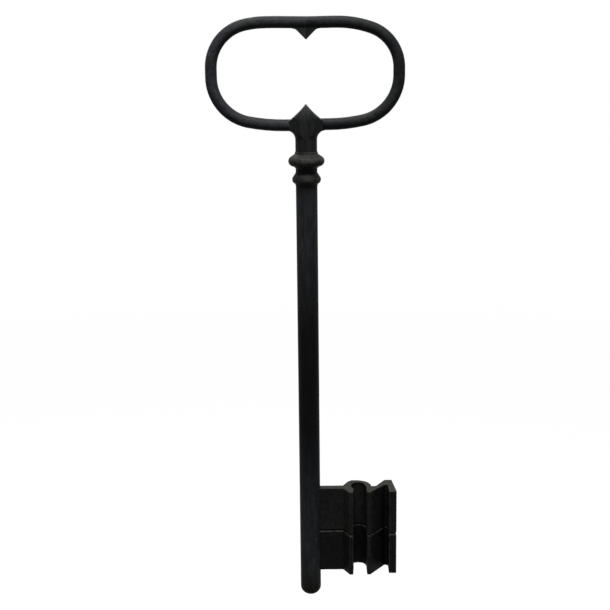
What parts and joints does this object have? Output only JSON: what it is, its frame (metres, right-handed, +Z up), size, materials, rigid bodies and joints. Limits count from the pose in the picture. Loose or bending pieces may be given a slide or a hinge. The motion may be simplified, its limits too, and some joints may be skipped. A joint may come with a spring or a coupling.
{
  "type": "oversized iron key",
  "caption": "Oversized black iron key for a shop sign: round shank with turned collars, pointed oval bow and a folded bit, riveted and pinned together.",
  "frame": {"origin": "the hook's seat: the underside of the bow's top bar, 30 mm from the bow's middle on the bit's side", "axes": "+Z up along the shank, from the tip to the bow; +X from the shank towards the bit; the bow lies in the XZ plane, the bit's folds and the front of the key face -Y"},
  "size_m": [0.2884, 0.055, 0.889],
  "materials": {
    "black_iron": "forged and filed, blackened, satin",
    "bow_iron": "forged round bar, blackened, file marks, satin",
    "collar_iron": "turned and blackened, rubbed bright on the high edges",
    "bit_iron": "forged, dark oxide, matt",
    "pin_iron": "plain rod, dressed flush"
  },
  "bodies": {
    "root": {"shank": "black_iron", "neck_head": "black_iron", "bow_left": "bow_iron", "bow_right": "bow_iron", "bow_top_dowel": "pin_iron", "bow_pin_left": "pin_iron", "bow_pin_right": "pin_iron", "upper_collar": "collar_iron", "lower_collar": "collar_iron", "neck_pin": "pin_iron", "bit_upper": "bit_iron", "bit_lower": "bit_iron", "bit_dowel_inner": "pin_iron", "bit_dowel_outer": "pin_iron", "bit_rivet_1": "pin_iron", "bit_rivet_2": "pin_iron", "bit_rivet_3": "pin_iron", "bit_rivet_4": "pin_iron"}
  },
  "joints": []
}
